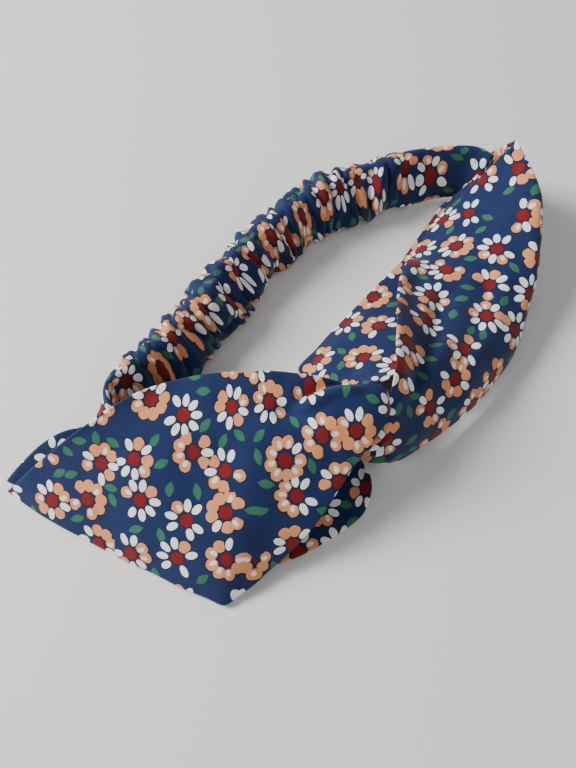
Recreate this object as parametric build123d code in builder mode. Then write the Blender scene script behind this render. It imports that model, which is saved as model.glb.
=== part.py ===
from build123d import *
import os

# Knotted headband: two wide printed cotton bands looped through each other at the front
# knot, and a gathered casing with an elastic in it that joins their far ends.
# It lies on its side on a table. Frame: X along the headband from the left band's end to
# the right band's end, Y from the knot to the elastic, Z up, origin on the table.

# ---------- driving dimensions, mm ----------
BAND_THICK = 1.6  # one half of a band, a flat tube of two cloth layers
NECK_THICK = 6.0  # either band where it is gathered in the knot
NECK_TALL = 14.0  # width of the right band's gathered neck
PIVOT = (5.0, -33.0)  # plan position of the left band's upright neck
LOOP_R = 9.5  # radius of the right band's middle line round that upright neck
NECK_Z = 24.0  # height of the middle of the right band's neck
CASING_WIDE = 28.0  # the gathered casing, pressed flat
CASING_THICK = 6.0
CASING_WALL = 0.9
ELASTIC_WIDE = 22.0  # the flat elastic inside the casing
ELASTIC_THICK = 1.2
THREAD_R = 0.25  # sewing thread
TO_ORIGIN = (-0.17, -6.95, -1.05)  # brings the middle of the footprint to the origin

# Each row of a band is a line of points across the cloth, with the cloth's thickness
# there. Rows follow each other along the band, from its sewn end, through the knot and
# back to the sewn end. The first point is on the long edge that starts inside the ring.

LEFT_BAND = [
    (BAND_THICK, [(-82, 17, 34), (-93.5, 18.6, 27.5), (-105, 20.2, 20), (-116.5, 21.8, 11.5),
                  (-128, 23.4, 1.6)]),
    (BAND_THICK, [(-69, 16, 37), (-81.5, 12, 30.5), (-94.5, 9, 21.8), (-107.5, 7, 12), (-119.5, 7, 1.8)]),
    (BAND_THICK, [(-52, 11.5, 39), (-66, -0.5, 32.5), (-80.5, -9.5, 23.5), (-95, -15, 13),
                  (-107.5, -15, 2)]),
    (BAND_THICK, [(-35, 3.5, 40), (-49, -15, 33.5), (-64, -28.5, 24.5), (-80, -37.5, 13.5),
                  (-92, -40.5, 2.2)]),
    (BAND_THICK, [(-27, -1.5, 40), (-40, -21, 34), (-55, -37.5, 25), (-70, -50, 13.5), (-79.5, -57, 2.6)]),
    (BAND_THICK, [(-20, -6.5, 40), (-30, -23, 35.2), (-42, -38, 27), (-54, -49.5, 16.5),
                  (-62.5, -57.5, 6)]),
    (BAND_THICK, [(-12, -13, 40), (-18, -25.5, 37.3), (-25.5, -37.5, 31.5), (-33.5, -48, 22),
                  (-40, -56, 10)]),
    (BAND_THICK, [(-6, -21, 40), (-8.5, -28, 39.3), (-11.3, -35, 36.7), (-14.2, -42, 32),
                  (-17, -48.5, 25)]),
    (3.0, [(-1.5, -28.5, 40), (-2.2, -31, 39.7), (-3, -33.5, 38.9), (-3.7, -36, 37.9), (-4.4, -38.4, 36.6)]),
    (NECK_THICK, [(2.8, y, 37.6) for y in (-29, -33, -37)]),
    (NECK_THICK, [(5, y, 32) for y in (-29, -33, -37)]),
    (NECK_THICK, [(5, y, 22) for y in (-29, -33, -37)]),
    (NECK_THICK, [(5, y, 13) for y in (-29, -33, -37)]),
    (NECK_THICK, [(2.8, y, 7.6) for y in (-29, -33, -37)]),
    (3.0, [(-3, -28, 5.4), (-3, -30.5, 5.2), (-3, -33, 5.2), (-3, -35.5, 5.2), (-3, -38, 5.4)]),
    (BAND_THICK, [(-13, -23, 4.4), (-11.5, -31, 3.8), (-9.5, -40, 4), (-8, -47, 5.8), (-6.5, -53, 10)]),
    (BAND_THICK, [(-26, -15, 3), (-24, -27, 2.6), (-21.5, -39, 2.5), (-19, -51, 2.4), (-17, -61, 2.8)]),
    (BAND_THICK, [(-42, -8, 5), (-41.5, -22, 3.6), (-41.5, -36, 2.8), (-42, -49, 2.4), (-43, -61, 2.4)]),
    (BAND_THICK, [(-58, 2, 8), (-61, -10, 5.4), (-65, -22, 3.8), (-70, -34, 2.8), (-76, -46, 2.4)]),
    (BAND_THICK, [(-72, 13, 11), (-78, 6, 7.4), (-85, -1, 5), (-92, -8, 3.4), (-99, -14, 2.4)]),
    (BAND_THICK, [(-84, 22.5, 13), (-92, 22.3, 8.8), (-100, 22.1, 5.8), (-108, 21.9, 3.8),
                  (-116, 21.7, 2.6)]),
]
RIGHT_BAND = [
    (BAND_THICK, [(101, 36.5, 4.5), (111.5, 32, 21.5), (122.5, 28, 40), (125.5, 41, 24), (118, 51.5, 7)]),
    (BAND_THICK, [(90, 33, 5), (104, 23, 20.5), (119.5, 9, 36), (128, 10, 20.5), (127, 12, 4.5)]),
    (BAND_THICK, [(75, 25.5, 6), (88, 9, 18.5), (102, -13, 26.5), (112.5, -19.5, 17.5), (114, -19, 3.5)]),
    (BAND_THICK, [(56, 14, 14.5), (67, -5, 20), (78, -24, 20.5), (87, -34.5, 14.5), (88.5, -35.5, 4)]),
    (BAND_THICK, [(39, -2, 26), (47, -18, 26.5), (55, -33, 22.5), (61.5, -43.5, 13), (63, -45.5, 4.5)]),
    (BAND_THICK, [(24, -20, 34.5), (29, -30, 32), (35, -39.5, 25), (40, -46.5, 15), (41.5, -49, 5.5)]),
    (BAND_THICK, [(14.5, -33, 36), (16.5, -38.5, 31), (18.5, -43, 25), (20.5, -46.5, 18),
                  (22, -48.5, 11)]),
    (4.0, [(10, -42.2, 31), (10, -42.4, 27.5), (10, -42.6, 24), (10, -42.8, 20.5), (10, -43, 17)]),
    (NECK_THICK, [(5, PIVOT[1] - LOOP_R, NECK_Z + s * NECK_TALL / 2) for s in (1, 0, -1)]),
    (NECK_THICK, [(-1.7, PIVOT[1] - 6.7, NECK_Z + s * NECK_TALL / 2) for s in (1, 0, -1)]),
    (NECK_THICK, [(5 - LOOP_R, PIVOT[1], NECK_Z + s * NECK_TALL / 2) for s in (1, 0, -1)]),
    (NECK_THICK, [(-1.7, PIVOT[1] + 6.7, NECK_Z + s * NECK_TALL / 2) for s in (1, 0, -1)]),
    (NECK_THICK, [(5, PIVOT[1] + LOOP_R, NECK_Z + s * NECK_TALL / 2) for s in (1, 0, -1)]),
    (4.0, [(11, -23, 31), (10.8, -22.8, 27.5), (10.5, -22.5, 24), (10.2, -22.2, 20.5), (10, -22, 17)]),
    (BAND_THICK, [(28, -22, 27), (21.5, -16, 22), (15, -9, 16), (9, -2, 10), (3.5, 5, 3)]),
    (BAND_THICK, [(47, -23, 20), (41, -13, 18), (36, -2.5, 13), (32.5, 7, 7.5), (30, 15.5, 1.8)]),
    (BAND_THICK, [(74, -22, 15), (68, -11, 13.5), (62, 1, 10), (57, 12, 6), (53, 22, 1.8)]),
    (BAND_THICK, [(100, -12, 17), (93, -2, 13.7), (86, 8.5, 10.2), (79, 19, 6), (73, 28.3, 1.8)]),
    (BAND_THICK, [(114, 10.5, 25.5), (108, 16.5, 19.5), (101.5, 23, 13.5), (95, 29.5, 7.5),
                  (89, 35.2, 2.2)]),
    (BAND_THICK, [(112.5, 34.5, 24), (110, 35.6, 19), (107.4, 37, 13.5), (104.7, 38.6, 8),
                  (101.8, 40.4, 2.5)]),
]
# The casing's middle line from the left band's end to the right band's, with the way its
# upper edge points from the middle of its width.
CASING_PATH = [
    ((-95.0, 18.0, 17.2), (0.80, -0.12, 0.58)),
    ((-96.5, 24.6, 17.2), (0.55, 0.05, 0.83)),
    ((-92.0, 31.0, 17.0), (0.20, 0.12, 0.97)),
    ((-82.0, 33.8, 16.2), (-0.04, 0.28, 0.96)),
    ((-69.0, 33.6, 15.4), (-0.10, 0.42, 0.90)),
    ((-50.0, 36.2, 14.8), (-0.20, 0.46, 0.86)),
    ((-31.0, 42.5, 14.8), (-0.26, 0.50, 0.84)),
    ((-5.0, 55.5, 14.8), (-0.20, 0.44, 0.87)),
    ((24.0, 65.5, 14.8), (-0.08, 0.40, 0.89)),
    ((60.0, 66.5, 14.8), (0.06, 0.36, 0.91)),
    ((85.0, 58.5, 14.8), (0.16, 0.38, 0.90)),
    ((104.0, 48.5, 16.5), (0.20, 0.24, 0.95)),
    ((114.4, 40.4, 17.8), (0.30, 0.04, 0.95)),
    ((116.8, 33.4, 18.2), (0.30, -0.02, 0.95)),
]


def strip_section(row, ahead, thickness):
    """One flat cross-section of a band.

    row is the points across the cloth and ahead the way the band runs on from them. The
    outline stays half the thickness to each side of the points."""
    points = [Vector(*p) for p in row]
    first, middle, last = points[0], points[len(points) // 2], points[-1]
    span = (last - first).normalized()
    normal = (middle - first).cross(last - first)
    if normal.length < 0.12 * (last - first).length ** 2:  # nearly straight
        normal = ahead - span * ahead.dot(span)
    normal = normal.normalized()
    if normal.dot(ahead) < 0:
        normal = normal * -1
    points = [p - normal * (p - first).dot(normal) for p in points]
    upper, lower = [], []
    for i, p in enumerate(points):
        across = points[min(i + 1, len(points) - 1)] - points[max(i - 1, 0)]
        out = normal.cross(across).normalized() * (thickness / 2)
        upper.append(p + out)
        lower.append(p - out)
    with BuildLine() as outline:
        Spline(*upper)
        Line(upper[-1], lower[-1])
        Spline(*reversed(lower))
        Line(lower[0], upper[0])
    return Face(outline.wire())


def band_of(rows):
    """A whole band as one solid: the upper half, the gathered neck and the lower half."""
    middles = [Vector(*points[len(points) // 2]) for _, points in rows]
    sections = []
    for i, (thickness, points) in enumerate(rows):
        ahead = middles[min(i + 1, len(rows) - 1)] - middles[max(i - 1, 0)]
        sections.append(strip_section(points, ahead, thickness))
    return loft(sections, ruled=True)


def between(points):
    """The same points with one more between each two, on the curve through them."""
    filled = [points[0]]
    for i in range(len(points) - 1):
        before, after = points[max(i - 1, 0)], points[min(i + 2, len(points) - 1)]
        filled += [(points[i] + points[i + 1]) * 9 / 16 - (before + after) / 16, points[i + 1]]
    return filled


def casing_planes():
    """Planes across the casing along its path, X along its width."""
    middles = between([Vector(*point) for point, _ in CASING_PATH])
    ups = between([Vector(*up) for _, up in CASING_PATH])
    planes = []
    for i, (point, up) in enumerate(zip(middles, ups)):
        ahead = (middles[min(i + 1, len(middles) - 1)] - middles[max(i - 1, 0)]).normalized()
        planes.append(Plane(origin=point, x_dir=up - ahead * up.dot(ahead), z_dir=ahead))
    return planes


def flat_strip(planes, wide, thick):
    """A solid strip with rounded edges, lofted through the planes."""
    sections = []
    for plane in planes:
        with BuildSketch(plane) as section:
            RectangleRounded(wide, thick, thick / 2 - 0.05)
        sections.append(section.sketch)
    return loft(sections, ruled=True)


def thread_along(points):
    """A thread along a smooth line through the points."""
    with BuildPart() as run:
        with BuildLine() as line:
            Spline(*points)
        with BuildSketch(Plane(origin=line.line @ 0, z_dir=line.line % 0)):
            Circle(THREAD_R)
        sweep()
    return run.part


def zigzag_thread(near, far, count):
    """A thread that goes back and forth between two lines, each given by its ends."""
    corners = []
    for i in range(count + 1):
        start, end = near if i % 2 == 0 else far
        corners.append(start + (end - start) * (i / count))
    return thread_along(corners)


def stitches(near, far, count):
    """Separate stitches, each a straight thread from one line to the other."""
    row = []
    for i in range(count):
        share = i / (count - 1)
        start = near[0] + (near[1] - near[0]) * share
        reach = far[0] + (far[1] - far[0]) * share - start
        row.append(Solid.make_cylinder(THREAD_R, reach.length, Plane(origin=start, z_dir=reach)))
    return Compound(children=row)


def on_row(band, row, place):
    """The point at place, from 0 to 1, across one row of a band."""
    points = [Vector(*p) for p in band[row][1]]
    at = place * (len(points) - 1)
    i = min(int(at), len(points) - 2)
    return points[i] + (points[i + 1] - points[i]) * (at - i)


def near_end(band, end, place, share=0.2):
    """The same place across the cloth, a share of the way from an end row to the next."""
    inside = 1 if end == 0 else len(band) - 2
    outer, inner = on_row(band, end, place), on_row(band, inside, place)
    return outer + (inner - outer) * share


def edge_seam(band, inward=2.5):
    """Points a little way in from the long edge at the end of each row."""
    points = []
    for _, row in band:
        edge, inner = Vector(*row[-1]), Vector(*row[-2])
        points.append(edge + (inner - edge).normalized() * inward)
    return points


def with_middles(points):
    """The same points with one more half way between each two."""
    filled = [points[0]]
    for before, after in zip(points, points[1:]):
        filled += [(before + after) / 2, after]
    return filled


def tack(plane, half_wide, half_deep):
    """A zigzag of thread across the casing, through its walls and the elastic."""
    low, high = -plane.x_dir * half_wide, plane.x_dir * half_wide
    deep = plane.z_dir.cross(plane.x_dir).normalized() * half_deep
    near = (plane.origin + low + deep, plane.origin + high + deep)
    far = (plane.origin + low - deep, plane.origin + high - deep)
    return zigzag_thread(near, far, 10)


os.makedirs("parts", exist_ok=True)
planes = casing_planes()

with BuildPart() as casing:
    add(flat_strip(planes, CASING_WIDE, CASING_THICK))
    bore = flat_strip(planes, CASING_WIDE - 2 * CASING_WALL, CASING_THICK - 2 * CASING_WALL)
    add(bore, mode=Mode.SUBTRACT)

# The left band's seam goes down through the knot inside the gathered neck.
left_edge = edge_seam(LEFT_BAND)
in_neck = [Vector(x, PIVOT[1] - 1.5, z) for x, z in ((1, 38.5), (5, 30), (5, 15), (1, 6.5))]

# The thread that closes the casing runs along its lower edge, inside the fold.
casing_seam = [plane.origin - plane.x_dir * (CASING_WIDE / 2 - 0.5) for plane in planes[::2]]

# The left band's two halves are sewn together across the casing's end.
left_last = len(LEFT_BAND) - 1
left_upper = (near_end(LEFT_BAND, 0, 0.25), near_end(LEFT_BAND, 0, 0.62))
left_lower = (near_end(LEFT_BAND, left_last, 0.2), near_end(LEFT_BAND, left_last, 0.8))

# The right band's end is sewn to itself over the casing, just under its fold.
fold, near_side, far_side = (Vector(*RIGHT_BAND[0][1][i]) for i in (2, 1, 3))
right_near = (fold + (near_side - fold) * 0.32, fold + (near_side - fold) * 0.1)
right_far = (fold + (far_side - fold) * 0.36, fold + (far_side - fold) * 0.12)

PARTS = {
    "left_band": band_of(LEFT_BAND),
    "right_band": band_of(RIGHT_BAND),
    "elastic_casing": casing.part,
    "elastic": flat_strip(planes, ELASTIC_WIDE, ELASTIC_THICK),
    "left_band_seam_thread": thread_along(left_edge[:8] + in_neck + with_middles(left_edge[15:])),
    "right_band_seam_thread": thread_along(edge_seam(RIGHT_BAND)),
    "casing_seam_thread": thread_along(casing_seam),
    "left_end_stitches": stitches(left_upper, left_lower, 7),
    "right_end_stitches": stitches(right_near, right_far, 4),
    "left_elastic_tack": tack(planes[2], 9, 2.5),
    "right_elastic_tack": tack(planes[-3], 9, 2.5),
}
for name, shape in PARTS.items():
    placed = Location(TO_ORIGIN) * shape
    placed.label = name
    export_step(placed, f"parts/{name}.step")
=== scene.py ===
"""Knotted headband of printed cotton, with a gathered casing, lying on its side."""

from __future__ import annotations

import logging
import math
from dataclasses import dataclass, field
from enum import Enum
from typing import Any, Sequence

import bpy
import numpy as np
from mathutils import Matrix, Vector

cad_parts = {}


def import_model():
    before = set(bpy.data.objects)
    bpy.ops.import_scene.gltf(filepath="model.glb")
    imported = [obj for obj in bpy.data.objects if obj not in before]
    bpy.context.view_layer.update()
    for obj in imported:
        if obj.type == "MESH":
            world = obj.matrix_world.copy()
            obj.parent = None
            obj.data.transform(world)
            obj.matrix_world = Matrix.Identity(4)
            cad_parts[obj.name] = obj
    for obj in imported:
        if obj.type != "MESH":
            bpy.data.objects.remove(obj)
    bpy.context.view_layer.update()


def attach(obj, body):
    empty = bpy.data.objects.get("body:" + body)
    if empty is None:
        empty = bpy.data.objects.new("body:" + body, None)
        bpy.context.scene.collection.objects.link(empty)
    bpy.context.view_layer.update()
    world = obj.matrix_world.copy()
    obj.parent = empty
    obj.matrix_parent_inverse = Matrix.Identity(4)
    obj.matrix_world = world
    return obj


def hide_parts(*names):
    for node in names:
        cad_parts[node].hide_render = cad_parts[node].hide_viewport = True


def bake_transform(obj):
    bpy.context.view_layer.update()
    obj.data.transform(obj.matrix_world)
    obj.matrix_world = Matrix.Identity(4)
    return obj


LOG = logging.getLogger("headband")
MM = 0.001
TO_ORIGIN = np.array((-0.17, -6.95, -1.05))  # mm, from the tables' frame to the part's
FLOOR_Z = 1.05  # mm, the floor's height in the tables' frame
LEAF_SHIFT = (371.0, 118.0, 0.0)  # mm, moves the leaves' cells off the flowers'
THREAD_RADIUS = 0.25  # mm
SEAM_INSET = 2  # columns between a band's edge and its seam
CASING_STATIONS = 120  # places along the casing where its threads may be
LEFT_TACK_AT = 3  # of those places
RIGHT_TACK_AT = 116

Row = list[tuple[float, float, float]]


# ---------- shader expressions ----------


class Wire:
    """A node's output that takes part in Python expressions."""

    def __init__(self, graph: "Graph", socket: bpy.types.NodeSocket) -> None:
        """Keep the graph and the socket."""
        self.graph = graph
        self.socket = socket

    def _math(self, operation: str, *values: Any) -> "Wire":
        """Add a Math node on the values, self among them."""
        return self.graph.node("ShaderNodeMath", {"operation": operation}, dict(enumerate(values)))

    def __add__(self, other: Any) -> "Wire":
        """Sum."""
        return self._math("ADD", self, other)

    def __radd__(self, other: Any) -> "Wire":
        """Sum, the number first."""
        return self._math("ADD", other, self)

    def __sub__(self, other: Any) -> "Wire":
        """Difference."""
        return self._math("SUBTRACT", self, other)

    def __rsub__(self, other: Any) -> "Wire":
        """Difference, the number first."""
        return self._math("SUBTRACT", other, self)

    def __mul__(self, other: Any) -> "Wire":
        """Product."""
        return self._math("MULTIPLY", self, other)

    def __truediv__(self, other: Any) -> "Wire":
        """Quotient."""
        return self._math("DIVIDE", self, other)

    def __gt__(self, other: Any) -> "Wire":
        """1 where self is more than other."""
        return self._math("GREATER_THAN", self, other)

    def __lt__(self, other: Any) -> "Wire":
        """1 where self is less than other."""
        return self._math("LESS_THAN", self, other)

    def __abs__(self) -> "Wire":
        """Size without its sign."""
        return self._math("ABSOLUTE", self)

    def floor(self) -> "Wire":
        """Largest whole number not above self."""
        return self._math("FLOOR", self)

    def mod(self, other: float) -> "Wire":
        """Remainder, never negative."""
        return self._math("FLOORED_MODULO", self, other)

    def cos(self) -> "Wire":
        """Cosine."""
        return self._math("COSINE", self)

    def sin(self) -> "Wire":
        """Sine."""
        return self._math("SINE", self)

    def root(self) -> "Wire":
        """Square root."""
        return self._math("SQRT", self)


class Graph:
    """A material's node tree."""

    def __init__(self, name: str) -> None:
        """Make an empty material with its output.

        Args:
            name: The material's name.
        """
        self.material = bpy.data.materials.new(name)
        self.material.use_nodes = True
        self.tree = self.material.node_tree
        self.tree.nodes.clear()
        self.output = self.tree.nodes.new("ShaderNodeOutputMaterial")

    def node(self, kind: str, settings: dict[str, Any], inputs: dict[Any, Any],
             output: Any = 0) -> Wire:
        """Add one node.

        Args:
            kind: The node's type.
            settings: Its settings, set first.
            inputs: Values or wires, by the input's name or number.
            output: The name or number of the wanted output.

        Returns:
            The output as a wire.
        """
        made = self.tree.nodes.new(kind)
        for key, value in settings.items():
            setattr(made, key, value)
        for key, value in inputs.items():
            if isinstance(value, Wire):
                self.tree.links.new(value.socket, made.inputs[key])
            else:
                made.inputs[key].default_value = value
        return Wire(self, made.outputs[output])

    def other(self, wire: Wire, output: Any) -> Wire:
        """Another output of the node that a wire comes from.

        Args:
            wire: Any wire from the node.
            output: The wanted output's name or number.

        Returns:
            The output as a wire.
        """
        return Wire(self, wire.socket.node.outputs[output])

    def vector(self, operation: str, *values: Any, scale: Any = None) -> Wire:
        """Add a Vector Math node.

        Args:
            operation: The node's operation.
            values: Its vectors.
            scale: The Scale socket's value, if it has one.

        Returns:
            The resulting vector.
        """
        inputs: dict[Any, Any] = dict(enumerate(values))
        if scale is not None:
            inputs["Scale"] = scale
        return self.node("ShaderNodeVectorMath", {"operation": operation}, inputs)

    def parts(self, wire: Wire) -> tuple[Wire, Wire, Wire]:
        """Split a vector.

        Args:
            wire: The vector.

        Returns:
            Its three numbers.
        """
        first = self.node("ShaderNodeSeparateXYZ", {}, {0: wire})
        return first, self.other(first, 1), self.other(first, 2)

    def blend(self, factor: Any, below: Any, above: Any) -> Wire:
        """Mix two colours.

        Args:
            factor: How much of the upper colour shows.
            below: The lower colour.
            above: The upper colour.

        Returns:
            The mixed colour.
        """
        return self.node("ShaderNodeMix", {"data_type": "RGBA"}, {0: factor, 6: below, 7: above}, 2)

    def noise(self, place: Wire, scale: float, detail: float = 2.0) -> Wire:
        """Smooth noise round 0.5.

        Args:
            place: Where it is read.
            scale: How fine it is.
            detail: How many finer layers it has.

        Returns:
            The noise.
        """
        return self.node("ShaderNodeTexNoise", {},
                         {"Vector": place, "Scale": scale, "Detail": detail})

    def surface(self, inputs: dict[str, Any]) -> bpy.types.Material:
        """Add the shader and join it to the output.

        Args:
            inputs: The Principled shader's inputs.

        Returns:
            The finished material.
        """
        shader = self.node("ShaderNodeBsdfPrincipled", {}, inputs)
        self.tree.links.new(shader.socket, self.output.inputs["Surface"])
        return self.material


def colour(red: int, green: int, blue: int) -> tuple[float, float, float, float]:
    """A screen colour from 0 to 255 as linear light.

    Args:
        red: Red.
        green: Green.
        blue: Blue.

    Returns:
        The colour with full alpha.
    """
    light = [c / 255 for c in (red, green, blue)]
    return (*[c / 12.92 if c <= 0.04045 else ((c + 0.055) / 1.055) ** 2.4 for c in light], 1.0)


# ---------- finishes ----------


@dataclass(frozen=True)
class FloralCotton:
    """Blue cotton printed with small flowers, sized on the cloth's own flat map."""

    name: str = "floral cotton"
    cell: float = 18.2  # mm between flowers
    petals: int = 9
    petal_at: float = 5.7  # mm from the flower's centre to a petal's
    centre_r: float = 2.5
    leaf_cell: float = 8.4
    leaf_long: float = 3.1  # half a leaf's length, mm
    leaf_wide: float = 1.55
    leaf_clear: float = 9.4  # least distance from a leaf's middle to a flower's, mm
    petal_long: float = 2.35  # half a petal's length, mm
    petal_wide: float = 2.3
    white_narrower: float = 0.85  # how much narrower a white petal is, mm
    edge: float = 1.17  # a petal's dark edge, in petal radii

    def flowers(self, graph: Graph, place: Wire) -> tuple[Wire, Wire, Wire]:
        """The nearest flower to each point.

        Args:
            graph: The material.
            place: Position in flower cells.

        Returns:
            The distance in cells, the flower's centre, and its random colour.
        """
        near = graph.node("ShaderNodeTexVoronoi", {"voronoi_dimensions": "2D"},
                          {"Vector": place, "Scale": 1.0, "Randomness": 0.4}, "Distance")
        return near, graph.other(near, "Position"), graph.other(near, "Color")

    def leaves(self, graph: Graph, place: Wire) -> Wire:
        """The leaves between the flowers.

        Args:
            graph: The material.
            place: Position on the cloth in mm.

        Returns:
            1 on a leaf.
        """
        shifted = graph.vector("ADD", place, LEAF_SHIFT)
        cells = graph.vector("SCALE", shifted, scale=1 / self.leaf_cell)
        near = graph.node("ShaderNodeTexVoronoi", {"voronoi_dimensions": "2D"},
                          {"Vector": cells, "Scale": 1.0, "Randomness": 0.7}, "Distance")
        centre, tint = graph.other(near, "Position"), graph.other(near, "Color")
        offset = graph.vector("SUBTRACT", cells, centre)
        x, y, _ = graph.parts(graph.vector("SCALE", offset, scale=self.leaf_cell))
        turn = graph.parts(tint)[0] * math.tau
        along, across = x * turn.cos() + y * turn.sin(), y * turn.cos() - x * turn.sin()
        share = along / self.leaf_long
        inside = (1 - share * share) * self.leaf_wide - abs(across) > 0.0
        centre_mm = graph.vector("SCALE", centre, scale=self.leaf_cell)
        centre_mm = graph.vector("SUBTRACT", centre_mm, LEAF_SHIFT)
        away = self.flowers(graph, graph.vector("SCALE", centre_mm, scale=1 / self.cell))[0]
        return inside * (away * self.cell > self.leaf_clear)

    def print(self, graph: Graph, place: Wire) -> Wire:
        """The printed colour.

        Args:
            graph: The material.
            place: Position on the cloth in mm.

        Returns:
            The colour.
        """
        wobble = graph.noise(place, 0.35) - 0.5
        cells = graph.vector("SCALE", place, scale=1 / self.cell)
        near, centre, tint = self.flowers(graph, cells)
        x, y, _ = graph.parts(graph.vector("SUBTRACT", cells, centre))
        red, green, blue = graph.parts(tint)
        away = near * self.cell + wobble * 0.9
        angle = graph.node("ShaderNodeMath", {"operation": "ARCTAN2"}, {0: y, 1: x})
        angle = angle + red * math.tau
        sector = angle * (self.petals / math.tau)
        index = sector.floor()
        lean = (sector - index - 0.5) * (math.tau / self.petals)
        seed = graph.node("ShaderNodeCombineXYZ", {},
                          {0: index.mod(self.petals), 1: red * 57.0, 2: green * 91.0})
        dice = graph.node("ShaderNodeTexWhiteNoise", {"noise_dimensions": "3D"},
                          {"Vector": seed}, "Color")
        chance, size, drop = graph.parts(dice)
        white = chance < 0.26 + (blue < 0.42) * 0.44
        out, side = away * lean.cos(), away * lean.sin()
        petal_at = self.petal_at + size * 0.7 - 0.35
        long = (out - petal_at) / self.petal_long
        wide = side / (self.petal_wide - white * self.white_narrower)
        petal_edge = (long * long + wide * wide).root()
        kept = drop > 0.12
        petal = (petal_edge < 1.0) * kept
        outline = (petal_edge < self.edge) * kept
        gleam_out, gleam_side = (out - petal_at + 0.6) / 1.35, (side + 0.4) / 0.9
        gleam = (gleam_out * gleam_out + gleam_side * gleam_side < 1.0) * petal * (size > 0.45)

        patchy = graph.noise(place, 0.12, 3.0)
        ground = graph.blend(patchy, colour(3, 24, 66), colour(7, 36, 88))
        leaf = graph.blend(patchy, colour(32, 88, 66), colour(54, 118, 88))
        peach = graph.blend(patchy, colour(214, 132, 84), colour(232, 158, 110))
        pale = graph.blend(patchy, colour(232, 232, 232), colour(250, 249, 246))
        result = graph.blend(self.leaves(graph, place), ground, leaf)
        result = graph.blend(outline * 0.95, result, colour(3, 6, 18))
        result = graph.blend(petal, result, graph.blend(white, peach, pale))
        result = graph.blend(gleam * 0.85, result, pale)
        result = graph.blend((away < self.centre_r + 0.45) * 0.8, result, colour(40, 14, 34))
        heart = graph.blend(graph.noise(place, 0.9), colour(98, 0, 6), colour(138, 4, 14))
        return graph.blend(away < self.centre_r, result, heart)

    def make(self) -> bpy.types.Material:
        """Build the material."""
        graph = Graph(self.name)
        flat = graph.node("ShaderNodeUVMap", {"uv_map": "cloth"}, {})
        place = graph.vector("SCALE", flat, scale=1000.0)
        x, y, _ = graph.parts(place)
        weave = (x * (math.tau / 0.55)).sin() * (y * (math.tau / 0.5)).sin()
        height = weave * 0.25 + graph.noise(place, 0.55, 4.0)
        bump = graph.node("ShaderNodeBump", {},
                          {"Strength": 0.35, "Distance": 0.00035, "Height": height})
        rough = 0.72 + graph.noise(place, 0.2) * 0.16
        return graph.surface({"Base Color": self.print(graph, place), "Roughness": rough,
                              "Normal": bump, "Specular IOR Level": 0.32,
                              "Sheen Weight": 0.12, "Sheen Roughness": 0.5})


@dataclass(frozen=True)
class Braid:
    """White woven elastic with ribs across it."""

    name: str = "elastic braid"

    def make(self) -> bpy.types.Material:
        """Build the material."""
        graph = Graph(self.name)
        spot = graph.node("ShaderNodeTexCoord", {}, {}, "Object")
        x, y, _ = graph.parts(graph.vector("SCALE", spot, scale=1000.0))
        ribs = ((x + y) * (math.tau / 1.1)).sin() * 0.5 + 0.5
        # painted shade: the white is darker in the grooves between the ribs, where the bump is low
        shade = graph.blend(ribs, colour(196, 196, 192), colour(232, 232, 228))
        bump = graph.node("ShaderNodeBump", {},
                          {"Strength": 0.4, "Distance": 0.0004, "Height": ribs})
        return graph.surface({"Base Color": shade, "Roughness": 0.7 + ribs * 0.1, "Normal": bump})


@dataclass(frozen=True)
class Thread:
    """Twisted dark blue sewing thread."""

    name: str = "sewing thread"

    def make(self) -> bpy.types.Material:
        """Build the material."""
        graph = Graph(self.name)
        spot = graph.node("ShaderNodeTexCoord", {}, {}, "Object")
        x, y, z = graph.parts(graph.vector("SCALE", spot, scale=1000.0))
        twist = ((x + y * 0.7 + z * 1.3) * (math.tau / 0.6)).sin() * 0.5 + 0.5
        # painted shade: the blue is darker in the grooves of the twist and lighter on its crests
        shade = graph.blend(twist, colour(14, 26, 60), colour(34, 56, 104))
        bump = graph.node("ShaderNodeBump", {},
                          {"Strength": 0.3, "Distance": 0.0001, "Height": twist})
        return graph.surface({"Base Color": shade, "Roughness": 0.55 + twist * 0.1, "Normal": bump})


# ---------- shaping cloth ----------


def smooth_through(at: np.ndarray, points: np.ndarray, wanted: np.ndarray) -> np.ndarray:
    """A smooth line through points, with little overshoot.

    Args:
        at: Rising parameter of each point.
        points: The points, first axis along the line.
        wanted: Parameters to read.

    Returns:
        The points at those parameters.
    """
    step = np.diff(at)
    shape = (-1,) + (1,) * (points.ndim - 1)
    slope = np.diff(points, axis=0) / step.reshape(shape)
    before, after = slope[:-1], slope[1:]
    left, right = step[:-1].reshape(shape), step[1:].reshape(shape)
    plain = (before * right + after * left) / (left + right)
    product = before * after
    both = np.where(abs(before + after) > 1e-9, before + after, 1)
    held = np.where(product > 1e-12, 2 * product / both, 0)
    tangent = np.concatenate([slope[:1], 0.45 * plain + 0.55 * held, slope[-1:]])
    i = np.clip(np.searchsorted(at, wanted, side="right") - 1, 0, len(at) - 2)
    h = step[i]
    t = ((wanted - at[i]) / h).reshape(shape)
    h = h.reshape(shape)
    return (points[i] * (2 * t**3 - 3 * t**2 + 1) + tangent[i] * h * (t**3 - 2 * t**2 + t)
            + points[i + 1] * (3 * t**2 - 2 * t**3) + tangent[i + 1] * h * (t**3 - t**2))


def soft_step(value: np.ndarray, low: float, high: float) -> np.ndarray:
    """0 below low, 1 above high, and smooth between.

    Args:
        value: The values.
        low: Where it starts to rise.
        high: Where it has risen.

    Returns:
        A share for each value.
    """
    t = np.clip((value - low) / (high - low), 0, 1)
    return t * t * (3 - 2 * t)


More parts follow.
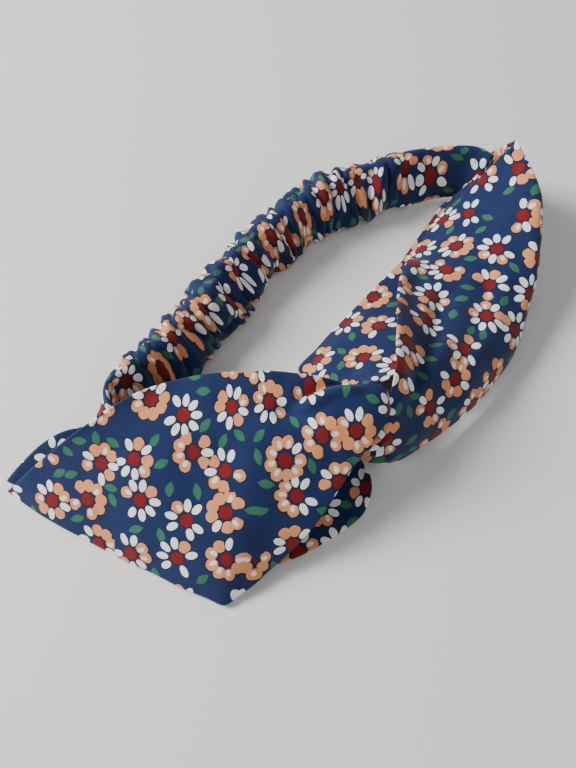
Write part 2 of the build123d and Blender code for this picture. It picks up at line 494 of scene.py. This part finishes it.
def slow_noise(x: np.ndarray, y: np.ndarray, seed: int) -> np.ndarray:
    """Smooth noise of wavelength about 1, from -1 to 1.

    Args:
        x: First coordinate.
        y: Second coordinate.
        seed: Which noise.

    Returns:
        The noise at each point.
    """
    rng = np.random.default_rng(seed)
    total = np.zeros(np.broadcast(x, y).shape)
    for _ in range(7):
        way, phase, pace = rng.uniform(0, math.tau), rng.uniform(0, math.tau), rng.uniform(0.6, 1.5)
        total += np.sin(math.tau * pace * (x * math.cos(way) + y * math.sin(way)) + phase)
    return total / 3.5


def flat_map(grid: np.ndarray) -> np.ndarray:
    """Lay a sheet flat with its lengths kept as nearly as they can be.

    Args:
        grid: Rows by columns of points, in mm.

    Returns:
        Rows by columns of flat positions, in mm.
    """
    rows, columns = grid.shape[:2]
    r = np.unique(np.linspace(0, rows - 1, 60).round().astype(int))
    c = np.unique(np.linspace(0, columns - 1, 10).round().astype(int))
    part = grid[np.ix_(r, c)]
    across = np.zeros(part.shape[:2])
    across[:, 1:] = np.cumsum(np.linalg.norm(np.diff(part, axis=1), axis=2), axis=1)
    across -= across[:, -1:] / 2
    middle = part[:, len(c) // 2]
    along = np.concatenate([[0], np.cumsum(np.linalg.norm(np.diff(middle, axis=0), axis=1))])
    flat = np.stack([across, np.repeat(along[:, None], len(c), axis=1)], axis=2)
    links = (((0, 0), (0, 1)), ((0, 0), (1, 0)), ((0, 0), (1, 1)), ((0, 1), (1, 0)))
    for _ in range(1500):
        push, count = np.zeros_like(flat), np.zeros(flat.shape[:2])
        for (r0, c0), (r1, c1) in links:
            dr, dc = max(r0, r1), max(c0, c1)
            a = np.s_[r0:len(r) - dr + r0, c0:len(c) - dc + c0]
            b = np.s_[r1:len(r) - dr + r1, c1:len(c) - dc + c1]
            real = np.linalg.norm(part[a] - part[b], axis=2)
            gap = flat[b] - flat[a]
            size = np.linalg.norm(gap, axis=2)
            move = gap * ((size - real) / np.maximum(size, 1e-6))[..., None] * 0.5
            push[a] += move
            push[b] -= move
            count[a] += 1
            count[b] += 1
        flat += push / count[..., None] * 1.3
    fine = smooth_through(r.astype(float), flat, np.arange(rows, dtype=float))
    columns_at = np.arange(columns, dtype=float)
    return smooth_through(c.astype(float), fine.transpose(1, 0, 2), columns_at).transpose(1, 0, 2)


def way_out(grid: np.ndarray) -> np.ndarray:
    """The normal at each point of a sheet.

    Args:
        grid: Rows by columns of points.

    Returns:
        Unit vectors.
    """
    normal = np.cross(np.gradient(grid, axis=0), np.gradient(grid, axis=1))
    return normal / np.maximum(np.linalg.norm(normal, axis=2, keepdims=True), 1e-9)


def cloth_area(obj: bpy.types.Object) -> float:
    """One side's area of a sheet that has a thickness.

    Args:
        obj: The sheet.

    Returns:
        Square metres.
    """
    return sum(p.area for p in obj.data.polygons) / 2


def lowest(obj: bpy.types.Object) -> float:
    """The height of a piece's lowest point.

    Args:
        obj: The piece.

    Returns:
        Millimetres.
    """
    return min(v.co.z for v in obj.data.vertices) / MM


def grid_object(name: str, grid: np.ndarray, flat: np.ndarray,
                ring: bool = False) -> bpy.types.Object:
    """A mesh from rows and columns of points, with its flat map.

    Args:
        name: The object's name.
        grid: Rows by columns of points, in mm.
        flat: Flat positions in mm, with one more column for a ring.
        ring: Whether the last column joins the first.

    Returns:
        The object.
    """
    rows, columns = grid.shape[:2]
    wide = columns if ring else columns - 1
    faces, corners = [], []
    for i in range(rows - 1):
        for j in range(wide):
            k = (j + 1) % columns
            here, above = i * columns, (i + 1) * columns
            faces.append((here + j, here + k, above + k, above + j))
            corners.extend(((i, j), (i, j + 1), (i + 1, j + 1), (i + 1, j)))
    mesh = bpy.data.meshes.new(name)
    mesh.from_pydata((grid.reshape(-1, 3) + TO_ORIGIN).dot(MM).tolist(), [], faces)
    layer = mesh.uv_layers.new(name="cloth")
    spots = np.array([flat[i, j] for i, j in corners]) * MM
    layer.data.foreach_set("uv", spots.ravel().astype(np.float32))
    mesh.update()
    obj = bpy.data.objects.new(name, mesh)
    bpy.context.collection.objects.link(obj)
    return obj


def finish_mesh(obj: bpy.types.Object, thickness: float) -> None:
    """Give a sheet its thickness and smooth it, with the modifiers applied.

    Args:
        obj: The sheet.
        thickness: In mm.
    """
    bpy.ops.object.select_all(action="DESELECT")
    obj.select_set(True)
    bpy.context.view_layer.objects.active = obj
    wall = obj.modifiers.new("wall", "SOLIDIFY")
    wall.thickness, wall.offset = thickness * MM, 0
    wall.thickness_clamp = 1.0
    soft = obj.modifiers.new("soft", "SUBSURF")
    soft.levels = soft.render_levels = 1
    for modifier in list(obj.modifiers):
        bpy.ops.object.modifier_apply(modifier=modifier.name)
    bpy.ops.object.mode_set(mode="EDIT")
    bpy.ops.mesh.select_all(action="SELECT")
    bpy.ops.mesh.normals_make_consistent(inside=False)
    bpy.ops.object.mode_set(mode="OBJECT")
    bpy.ops.object.shade_smooth()
    obj.select_set(False)


def thread_object(name: str, points: np.ndarray) -> bpy.types.Object:
    """A thread along points.

    Args:
        name: The object's name.
        points: Its line, in mm.

    Returns:
        The thread as a mesh.
    """
    curve = bpy.data.curves.new(name, "CURVE")
    curve.dimensions, curve.bevel_depth, curve.bevel_resolution = "3D", THREAD_RADIUS * MM, 1
    curve.use_fill_caps = True
    spline = curve.splines.new("POLY")
    spline.points.add(len(points) - 1)
    for spot, p in zip(spline.points, (points + TO_ORIGIN) * MM):
        spot.co = (*p, 1)
    source = bpy.data.objects.new(name + "_line", curve)
    bpy.context.collection.objects.link(source)
    bpy.context.view_layer.update()
    graph = bpy.context.evaluated_depsgraph_get()
    mesh = bpy.data.meshes.new_from_object(source.evaluated_get(graph))
    bpy.data.objects.remove(source)
    obj = bpy.data.objects.new(name, mesh)
    bpy.context.collection.objects.link(obj)
    return obj


class Body(Enum):
    """The two bodies that the knot joins."""

    LEFT = "left_side"
    RIGHT = "right_side"


@dataclass(frozen=True)
class Fold:
    """A ridge or a valley in the cloth along a line in plan."""

    line: tuple[tuple[float, float], ...]
    height: float  # mm, below 0 for a valley
    width: float
    rows: tuple[float, float] = (0.0, 9.6)  # the rows of the band that it may be on

    def lift(self, grid: np.ndarray) -> np.ndarray:
        """How far each point rises.

        Args:
            grid: The sheet's points.

        Returns:
            Heights in mm.
        """
        away = np.full(grid.shape[:2], 1e9)
        for (ax, ay), (bx, by) in zip(self.line, self.line[1:]):
            way = np.array((bx - ax, by - ay))
            gap = grid[..., :2] - (ax, ay)
            share = np.clip(gap @ way / (way @ way), 0, 1)
            away = np.minimum(away, np.linalg.norm(gap - share[..., None] * way, axis=2))
        return self.height * np.exp(-((away / self.width) ** 2))


@dataclass
class Band:
    """One wide band: its upper half, its gathered neck in the knot and its lower half."""

    name: str
    body: Body
    rows: list[Row]
    folds: tuple[Fold, ...]
    neck: tuple[float, float]  # first and last row of the gathered part
    pleats: float = 4.5
    pleat_high: float = 1.8
    onset: float = 1.3  # rows over which the pleats grow and fade at the neck's ends
    waves: float = 0.7
    thickness: float = 1.3
    columns: int = 44
    spacing: float = 2.1  # mm between rows of the mesh
    cut: tuple[float, float] = (0.100, 0.360)  # metres, fitted to the modelled cloth
    cut_area: float = 0.0185  # square metres, fitted too: the cut tapers to its end and the knot
    seed: int = 3
    grid: np.ndarray = field(default=None, init=False, repr=False)

    def shape(self) -> tuple[np.ndarray, np.ndarray]:
        """Interpolate the rows.

        Returns:
            The sheet's points, and each mesh row's place among the band's rows.
        """
        table = np.array([[[np.interp(k, np.linspace(0, 4, len(row)), [p[i] for p in row])
                            for i in range(3)] for k in range(5)] for row in self.rows])
        gaps = np.linalg.norm(np.diff(table, axis=0), axis=2).mean(axis=1)
        at = np.concatenate([[0], np.cumsum(gaps)])
        wanted = np.linspace(0, at[-1], int(at[-1] / self.spacing))
        long = smooth_through(at, table, wanted)
        place = np.interp(wanted, at, np.arange(len(at)))
        across = np.linspace(0, 4, self.columns)
        grid = smooth_through(np.arange(5.0), long.transpose(1, 0, 2), across).transpose(1, 0, 2)
        return grid, place

    def build(self) -> bpy.types.Object:
        """Make the band's cloth.

        Returns:
            The piece.
        """
        grid, place = self.shape()
        flat = flat_map(grid)
        for _ in range(2):
            grid[1:-1, 2:-2] += 0.25 * (grid[:-2, 2:-2] + grid[2:, 2:-2] - 2 * grid[1:-1, 2:-2])
        out = way_out(grid)
        lift = np.zeros(grid.shape[:2])
        for fold in self.folds:
            low, high = fold.rows
            on = soft_step(place, low - 0.6, low) * (1 - soft_step(place, high, high + 0.6))
            lift += fold.lift(grid) * on[:, None]
        column = np.linspace(0, 1, self.columns)[None, :]
        first, last = self.neck
        tight = soft_step(place, first - self.onset, first)
        tight = tight * (1 - soft_step(place, last, last + self.onset))
        drift = 0.5 * slow_noise(place[:, None] / 3, column * 0.6, self.seed)
        pleat = np.sin(math.tau * (column * self.pleats + drift))
        pleat = pleat * tight[:, None] ** 1.6 * self.pleat_high
        soft = slow_noise(flat[..., 0] / 34, flat[..., 1] / 42, self.seed + 5) * self.waves
        fine = slow_noise(flat[..., 0] / 13, flat[..., 1] / 19, self.seed + 9) * self.waves * 0.3
        rest = (1 - tight)[:, None]
        grid = grid + out * (pleat + (soft + fine) * rest)[..., None]
        grid[..., 2] += lift
        grid[..., 2] = np.maximum(grid[..., 2], FLOOR_Z + self.thickness / 2 + 0.15)
        self.grid = grid
        obj = grid_object(self.name, grid, flat + (self.seed * 57.0, self.seed * 23.0))
        finish_mesh(obj, self.thickness)
        return obj

    def seam(self) -> np.ndarray:
        """The line of the long seam, inside the band's edge."""
        return self.grid[1:-1:2, -1 - SEAM_INSET]

    def dress(self, obj: bpy.types.Object, cotton: bpy.types.Material,
              rests_on: Sequence[str]) -> None:
        """Give the cloth its finish and attach it to its body.

        Args:
            obj: The cloth.
            cotton: The printed cotton.
            rests_on: What it lies on. Not used.
        """
        obj.data.materials.append(cotton)
        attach(obj, self.body.value)


@dataclass
class Casing:
    """The gathered tube with the elastic in it, which joins the bands' far ends."""

    path: list[tuple[tuple[float, float, float], tuple[float, float, float]]]
    wide: float = 28.0
    thick: float = 5.0
    pitch: float = 8.6  # mm from one gather to the next
    depth: float = 4.6
    steps: int = 300
    around: int = 40
    fullness: float = 1.75  # cloth per length in the print's map only; the cut has less
    cut: tuple[float, float] = (0.060, 0.380)  # metres, fitted to the modelled cloth

    def lines(self, count: int) -> tuple[np.ndarray, np.ndarray, np.ndarray, np.ndarray]:
        """The casing's middle line and directions.

        Args:
            count: How many points.

        Returns:
            Points, the way up the width, the way through, and the length so far.
        """
        points = np.array([p for p, _ in self.path])
        ups = np.array([u for _, u in self.path])
        at = np.concatenate([[0], np.cumsum(np.linalg.norm(np.diff(points, axis=0), axis=1))])
        wanted = np.linspace(0, at[-1], count)
        middle, up = smooth_through(at, points, wanted), smooth_through(at, ups, wanted)
        ahead = np.gradient(middle, axis=0)
        ahead /= np.linalg.norm(ahead, axis=1, keepdims=True)
        up -= ahead * (up * ahead).sum(axis=1, keepdims=True)
        up /= np.linalg.norm(up, axis=1, keepdims=True)
        return middle, up, np.cross(ahead, up), wanted

    def build(self) -> bpy.types.Object:
        """Make the gathered tube.

        Returns:
            The piece.
        """
        middle, up, through, length = self.lines(self.steps)
        total = length[-1]
        s = length[:, None]
        turn = np.linspace(0, math.tau, self.around, endpoint=False)[None, :]
        across, side = np.cos(turn), np.sin(turn)
        puff = soft_step(s, 22, 48) * (1 - soft_step(s, total - 58, total - 24))
        gather = (s / self.pitch + 0.55 * slow_noise(s / 26, across * 0.35 + side * 0.2, 21)
                  + 0.35 * slow_noise(s / 60, across * 0.2, 22) + 0.16 * np.sign(side) * across)
        ridge = np.abs(np.cos(math.pi * gather)) ** 0.8
        finer = gather * 2.3 + 0.4 * slow_noise(s / 11, across * 0.6, 23)
        small = np.abs(np.cos(math.pi * finer))
        strength = 0.75 + 0.35 * slow_noise(s / 31, across * 0.5, 24)
        high = (ridge * strength * self.depth + small * 1.3) * puff
        half_wide = self.wide / 2 - 1.0 - 2.6 * puff + high * 0.8
        half_thick = self.thick / 2 - 0.6 + 1.1 * puff + high
        bend = slow_noise(s / 17, 0 * s, 25) * 0.9 * puff
        square = np.sign(across) * np.abs(across) ** 0.75
        flatter = np.sign(side) * np.abs(side) ** 0.6
        grid = (middle[:, None] + up[:, None] * (square * half_wide)[..., None]
                + through[:, None] * (flatter * half_thick + bend)[..., None])
        grid[..., 2] = np.maximum(grid[..., 2], 1.35)
        girth = 2 * self.wide * 1.04
        full = 1 + (self.fullness - 1) * puff
        run = np.concatenate([[0], np.cumsum(0.5 * (full[1:, 0] + full[:-1, 0]) * np.diff(length))])
        round_it = np.linspace(0, girth, self.around + 1)[None, :]
        flat = np.stack(np.broadcast_arrays(round_it, run[:, None]), axis=2)
        obj = grid_object("casing_cloth", grid, flat + (411.0, 95.0), ring=True)
        finish_mesh(obj, 0.6)
        return obj

    def strip(self) -> bpy.types.Object:
        """Make the flat elastic inside the tube.

        Returns:
            The piece.
        """
        middle, up, through, _ = self.lines(150)
        section = [(w, t) for t in (0.5, -0.5)
                   for w in (np.linspace(-9.5, 9.5, 12) * (1 if t > 0 else -1))]
        grid = np.stack([middle + up * w + through * t for w, t in section], axis=1)
        flat = np.zeros((150, len(section) + 1, 2))
        obj = grid_object("elastic_braid", grid, flat, ring=True)
        bpy.context.view_layer.objects.active = obj
        obj.select_set(True)
        bpy.ops.object.mode_set(mode="EDIT")
        bpy.ops.mesh.select_all(action="DESELECT")
        bpy.ops.mesh.select_non_manifold()
        bpy.ops.mesh.edge_face_add()
        bpy.ops.mesh.select_all(action="SELECT")
        bpy.ops.mesh.normals_make_consistent(inside=False)
        bpy.ops.object.mode_set(mode="OBJECT")
        obj.select_set(False)
        return obj

    def seam(self) -> np.ndarray:
        """The line of the thread that closes the tube, inside its lower edge."""
        middle, up, _, _ = self.lines(CASING_STATIONS)
        return middle - up * (self.wide / 2 - 2.4)

    def tack(self, at: int) -> np.ndarray:
        """The zigzag that holds the elastic at one end.

        Args:
            at: Which of the places along the tube.

        Returns:
            Its line.
        """
        middle, up, through, _ = self.lines(CASING_STATIONS)
        return np.array([middle[at] + up[at] * w + through[at] * (2.4 if i % 2 else -2.4)
                         for i, w in enumerate(np.linspace(-9, 9, 11))])


@dataclass
class Headband:
    """The whole headband."""

    left: Band
    right: Band
    casing: Casing
    cotton: FloralCotton = FloralCotton()
    braid: Braid = Braid()
    thread: Thread = Thread()

    def bend(self, obj: bpy.types.Object) -> None:
        """Bake a piece's placement into its mesh.

        Args:
            obj: The piece.
        """
        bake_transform(obj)

    def build(self) -> None:
        """Make and dress every piece, and hide the model's matching parts."""
        cotton, braid, thread = self.cotton.make(), self.braid.make(), self.thread.make()
        for band, node in ((self.left, "left_band"), (self.right, "right_band")):
            cloth = band.build()
            band.dress(cloth, cotton, ["floor"])
            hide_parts(node)
            node + "_cloth"
            seam = thread_object(node + "_seam", band.seam())
            seam.data.materials.append(thread)
            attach(seam, band.body.value)
            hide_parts(node + "_seam_thread")
            LOG.info("%s: cloth %.4f m2, lowest %.1f mm",
                     cloth.name, cloth_area(cloth), lowest(cloth))
        tube = self.casing.build()
        tube.data.materials.append(cotton)
        self.bend(tube)
        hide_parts("elastic_casing")
        LOG.info("%s: cloth %.4f m2, lowest %.1f mm", tube.name, cloth_area(tube), lowest(tube))
        strip = self.casing.strip()
        seam = thread_object("casing_seam", self.casing.seam())
        left_tack = thread_object("left_tack", self.casing.tack(LEFT_TACK_AT))
        right_tack = thread_object("right_tack", self.casing.tack(RIGHT_TACK_AT))
        for obj, node, material, slot in (
                (strip, "elastic", braid, "elastic_braid"),
                (seam, "casing_seam_thread", thread, "thread"),
                (left_tack, "left_elastic_tack", thread, "thread"),
                (right_tack, "right_elastic_tack", thread, "thread")):
            obj.data.materials.append(material)
            self.bend(obj)
            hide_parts(node)
            LOG.info("%s: %d faces, lowest %.1f mm", obj.name, len(obj.data.polygons), lowest(obj))
        for node in ("left_end_stitches", "right_end_stitches"):
            mesh = bpy.data.objects[node].data if node in bpy.data.objects else None
            if mesh is not None:
                mesh.materials.clear()
                mesh.materials.append(thread)


# ---------- the headband's own tables, mm ----------

LEFT_ROWS: list[Row] = [
    [(-82, 17, 34), (-93.5, 18.6, 27.5), (-105, 20.2, 20), (-116.5, 21.8, 11.5), (-128, 23.4, 1.6)],
    [(-69, 16, 37), (-81.5, 12, 30.5), (-94.5, 9, 21.8), (-107.5, 7, 12), (-119.5, 7, 1.8)],
    [(-52, 11.5, 39), (-66, -0.5, 32.5), (-80.5, -9.5, 23.5), (-95, -15, 13), (-107.5, -15, 2)],
    [(-35, 3.5, 40), (-49, -15, 33.5), (-64, -28.5, 24.5), (-80, -37.5, 13.5), (-92, -40.5, 2.2)],
    [(-28, -1, 40), (-41, -20.3, 34.4), (-55.2, -36.4, 25.8), (-69.8, -49.8, 14.4),
     (-79.6, -58.6, 2.5)],
    [(-27, -1.5, 40), (-40, -21, 34.5), (-54, -37.5, 26), (-68.3, -51.5, 14.5),
     (-78.6, -61.0, 2.6)],
    [(-26, -2, 40), (-38.8, -21.2, 34.7), (-52.4, -37.5, 26.3), (-66, -51.3, 15),
     (-76, -61.0, 3.1)],
    [(-19, -6.5, 40), (-29, -23, 36), (-39.5, -38, 29), (-49, -49.5, 18.5), (-57.5, -60, 7)],
    [(-11, -13, 40), (-17, -25.5, 38.5), (-23.5, -37.5, 34), (-30, -48, 24.5),
     (-37.5, -56.5, 15.5)],
    [(-3.5, -20, 40.2), (-6.5, -28, 40.5), (-9.5, -35, 38.5), (-12, -42, 34.5), (-14.8, -49, 28)],
    [(3, -25.5, 40.4), (1.6, -30, 41), (0.4, -34.5, 40.4), (-1, -39.5, 38), (-2.8, -45, 33.6)],
    [(8.6, -29.5, 39.5), (8, -32, 40), (7.2, -35, 39.4), (6.2, -38, 37.6), (4.8, -41.5, 34.2)],
    [(11.4, -31, 35), (11, -33.5, 34.5), (10, -37.5, 32)],
    [(9.5, -30.5, 27), (9.5, -33.5, 27), (9.3, -36.5, 26.5)],
    [(7.5, -29, 19), (7.5, -33, 19), (7.5, -36.5, 19)],
    [(5, -28.5, 12), (5, -33, 12), (5, -37.5, 12)],
    [(2.8, -28.5, 7.6), (2.8, -33, 7.6), (2.8, -37.5, 7.6)],
    [(-3, -27, 5.4), (-3, -30, 5.2), (-3, -33, 5.2), (-3, -36, 5.2), (-3, -39, 5.4)],
    [(-13, -23, 4.4), (-11.5, -31, 3.8), (-9.5, -40, 4), (-8, -47, 5.8), (-6.5, -53, 10)],
    [(-26, -15, 3), (-24, -27, 2.6), (-21.5, -39, 2.5), (-19, -51, 2.4), (-17, -61, 2.8)],
    [(-42, -8, 5), (-41.5, -22, 3.6), (-41.5, -36, 2.8), (-42, -49, 2.4), (-43, -61, 2.4)],
    [(-58, 2, 8), (-61, -10, 5.4), (-65, -22, 3.8), (-70, -34, 2.8), (-76, -46, 2.4)],
    [(-72, 13, 11), (-78, 6, 7.4), (-85, -1, 5), (-92, -8, 3.4), (-99, -14, 2.4)],
    [(-88, 27, 11), (-97, 29.5, 11.5), (-106, 30.8, 9), (-115.5, 30, 5.8), (-126, 27, 2.6)],
]
RIGHT_ROWS: list[Row] = [
    [(101, 36.5, 4.5), (112.2, 32.8, 22.5), (125.6, 30, 41.5), (126, 41, 24), (118, 51.5, 7)],
    [(90, 33, 5), (105, 22.5, 21), (121, 10, 35.5), (124.5, 11, 20.5), (124, 13, 4.5)],
    [(75, 25.5, 6), (89, 8, 20), (104.5, -12, 27.5), (107.5, -14, 17.5), (107, -13, 3.5)],
    [(56, 14, 14.5), (68, -5, 21.5), (83, -28.5, 18), (86, -33, 12.5), (86, -33.5, 4)],
    [(39, -2, 26), (47, -18, 27), (55.5, -34, 22), (60.5, -44, 12.5), (61.5, -45.5, 4.5)],
    [(24, -20, 34.5), (28.5, -29.5, 33.5), (33.5, -39, 26.5), (39, -47.3, 14.5), (41, -49.5, 5.5)],
    [(15, -30.5, 37.5), (16, -36.5, 35.5), (17.5, -42, 28.5), (20, -48, 18), (22.5, -51.5, 7)],
    [(6, -39, 33), (6, -43, 28.5), (5.5, -46, 23), (6, -49.5, 15), (7.5, -52, 7)],
    [(-2.5, -41.5, 30.5), (-3, -43.5, 26.5), (-3.5, -44.5, 22), (-3.5, -45.5, 17), (-3, -46.5, 11)],
    [(-6, -37, 30), (-6, -37.5, 23), (-6, -38, 15)],
    [(-4.5, -33, 31), (-4.5, -33, 24), (-4.5, -33, 17)],
    [(-1.7, -26.3, 31), (-1.7, -26.3, 24), (-1.7, -26.3, 17)],
    [(5, -23.5, 31), (5, -23.5, 24), (5, -23.5, 17)],
    [(12, -27, 31), (10, -22.5, 27), (7, -18.5, 22.5), (4, -14, 17), (1, -9.5, 10)],
    [(21, -28.5, 29.5), (15.5, -20, 24), (10, -12, 17.5), (4, -3.5, 10), (-3, 4.5, 2.8)],
    [(33, -27, 25), (25, -16.5, 21), (18.5, -7.5, 15.5), (12.5, 1.5, 9.5), (8.5, 9.2, 2)],
    [(47, -23, 20), (41, -13, 18), (36, -2.5, 13), (32.5, 7, 7.5), (30, 15.5, 1.8)],
    [(74, -22, 15), (68, -11, 13.5), (62, 1, 10), (57, 12, 6), (53, 22, 1.8)],
    [(100, -12, 17), (93, -2, 13.7), (86, 8.5, 10.2), (79, 19, 6), (73, 28.3, 1.8)],
    [(114, 10.5, 25.5), (108, 16.5, 19.5), (101.5, 23, 13.5), (95, 29.5, 7.5), (89, 35.2, 2.2)],
    [(112.5, 34.5, 24), (110, 35.6, 19), (107.4, 37, 13.5), (104.7, 38.6, 8), (101.8, 40.4, 2.5)],
]
LEFT_FOLDS = (
    Fold(((-19, -22.8), (-8, -24), (2, -28.5), (9, -32)), 2.6, 2.4),
    Fold(((-17, -18.4), (-9, -19.5), (-2, -22.5), (3, -26)), -4.6, 2.5),
    Fold(((-26, -20), (-21, -23.5)), -2.6, 3.2),
    Fold(((-46, 4), (-26, -8)), 0.8, 5.0),
    Fold(((-60, 0), (-34, -24), (-14, -34)), 1.0, 7.0),
    Fold(((-84, -20), (-52, -38), (-22, -43)), -0.8, 6.0),
)
RIGHT_FOLDS = (
    Fold(((62, 16), (50, 9), (39, -2), (28.5, -15.5), (18, -28)), 6.5, 5.6),
    Fold(((60, -8), (48, -17.5), (34.4, -28), (21, -36)), -4.6, 4.4),
    Fold(((46, -26), (33, -32.5), (22, -38)), 2.0, 2.8),
    Fold(((84, -8), (62, -27), (41, -39)), -1.4, 3.6),
    Fold(((90, -14), (66, -31), (44, -42)), 1.2, 4.0),
)
CASING_PATH = [
    ((-80.0, 9.0, 19.0), (0.86, -0.30, 0.40)),
    ((-84.5, 16.0, 18.6), (0.80, -0.30, 0.52)),
    ((-82.5, 22.8, 17.8), (0.60, -0.15, 0.78)),
    ((-76.0, 26.8, 16.6), (0.25, 0.15, 0.95)),
    ((-65.0, 29.4, 15.6), (0.00, 0.38, 0.92)),
    ((-50.0, 33.0, 14.4), (-0.20, 0.46, 0.86)),
    ((-31.0, 38.5, 14.2), (-0.26, 0.50, 0.84)),
    ((-5.0, 51.0, 14.2), (-0.20, 0.44, 0.87)),
    ((24.0, 61.0, 14.2), (-0.08, 0.40, 0.89)),
    ((60.0, 62.8, 14.4), (0.06, 0.36, 0.91)),
    ((85.0, 56.5, 14.8), (0.16, 0.38, 0.90)),
    ((104.0, 48.5, 16.5), (0.20, 0.24, 0.95)),
    ((114.4, 40.4, 17.8), (0.30, 0.04, 0.95)),
    ((116.8, 33.4, 18.2), (0.30, -0.02, 0.95)),
]


@dataclass
class Studio:
    """The pale table, the soft light and the camera."""

    eye: tuple[float, float, float] = (-79.2, -105.1, 276.4)
    target: tuple[float, float, float] = (-9.0, 3.0, 0.0)
    lens: float = 33.75

    def table(self) -> None:
        """Lay the pale table under the headband."""
        bpy.ops.mesh.primitive_plane_add(size=6, location=(0, 0, 0))
        floor = bpy.context.object
        floor.name = "floor"
        graph = Graph("pale table")
        spot = graph.node("ShaderNodeTexCoord", {}, {}, "Object")
        shade = graph.blend(graph.noise(spot, 4.0), colour(226, 226, 222), colour(232, 232, 228))
        floor.data.materials.append(graph.surface({"Base Color": shade, "Roughness": 0.55}))
        floor.select_set(False)

    def lamp(self, name: str, place: tuple[float, float, float], size: float, power: float) -> None:
        """Hang a square soft light aimed at the headband.

        Args:
            name: The light's name.
            place: Where, in metres.
            size: Its side, in metres.
            power: In watts.
        """
        light = bpy.data.lights.new(name, "AREA")
        light.shape, light.size, light.energy = "SQUARE", size, power
        obj = bpy.data.objects.new(name, light)
        obj.location = place
        obj.rotation_euler = (-Vector(place)).to_track_quat("-Z", "Y").to_euler()
        bpy.context.collection.objects.link(obj)

    def build(self) -> None:
        """Set up the table, the lights and the camera."""
        self.table()
        self.lamp("window", (-0.8, 0.8, 0.9), 0.6, 34.0)
        self.lamp("fill", (0.3, -0.9, 1.3), 1.4, 3.5)
        world = bpy.data.worlds.new("room")
        world.use_nodes = True
        world.node_tree.nodes["Background"].inputs["Color"].default_value = (0.92, 0.96, 1.0, 1)
        world.node_tree.nodes["Background"].inputs["Strength"].default_value = 0.38
        bpy.context.scene.world = world
        camera = bpy.data.objects.new("camera", bpy.data.cameras.new("camera"))
        camera.data.lens, camera.data.sensor_width = self.lens, 36.0
        eye, target = (Vector((np.array(p) + TO_ORIGIN) * MM) for p in (self.eye, self.target))
        camera.location = eye
        camera.rotation_euler = (target - eye).to_track_quat("-Z", "Y").to_euler()
        bpy.context.collection.objects.link(camera)
        bpy.context.scene.camera = camera


def main() -> None:
    """Build the scene and report each piece."""
    logging.basicConfig(level=logging.INFO, format="%(name)s: %(message)s")
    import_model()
    bpy.ops.object.select_all(action="DESELECT")
    Studio().build()
    Headband(
        left=Band("left_band_cloth", Body.LEFT, LEFT_ROWS, LEFT_FOLDS, neck=(13.2, 16.5)),
        right=Band("right_band_cloth", Body.RIGHT, RIGHT_ROWS, RIGHT_FOLDS, neck=(8.0, 11.4),
                   seed=8),
        casing=Casing(CASING_PATH),
    ).build()


if __name__ == "__main__":
    main()
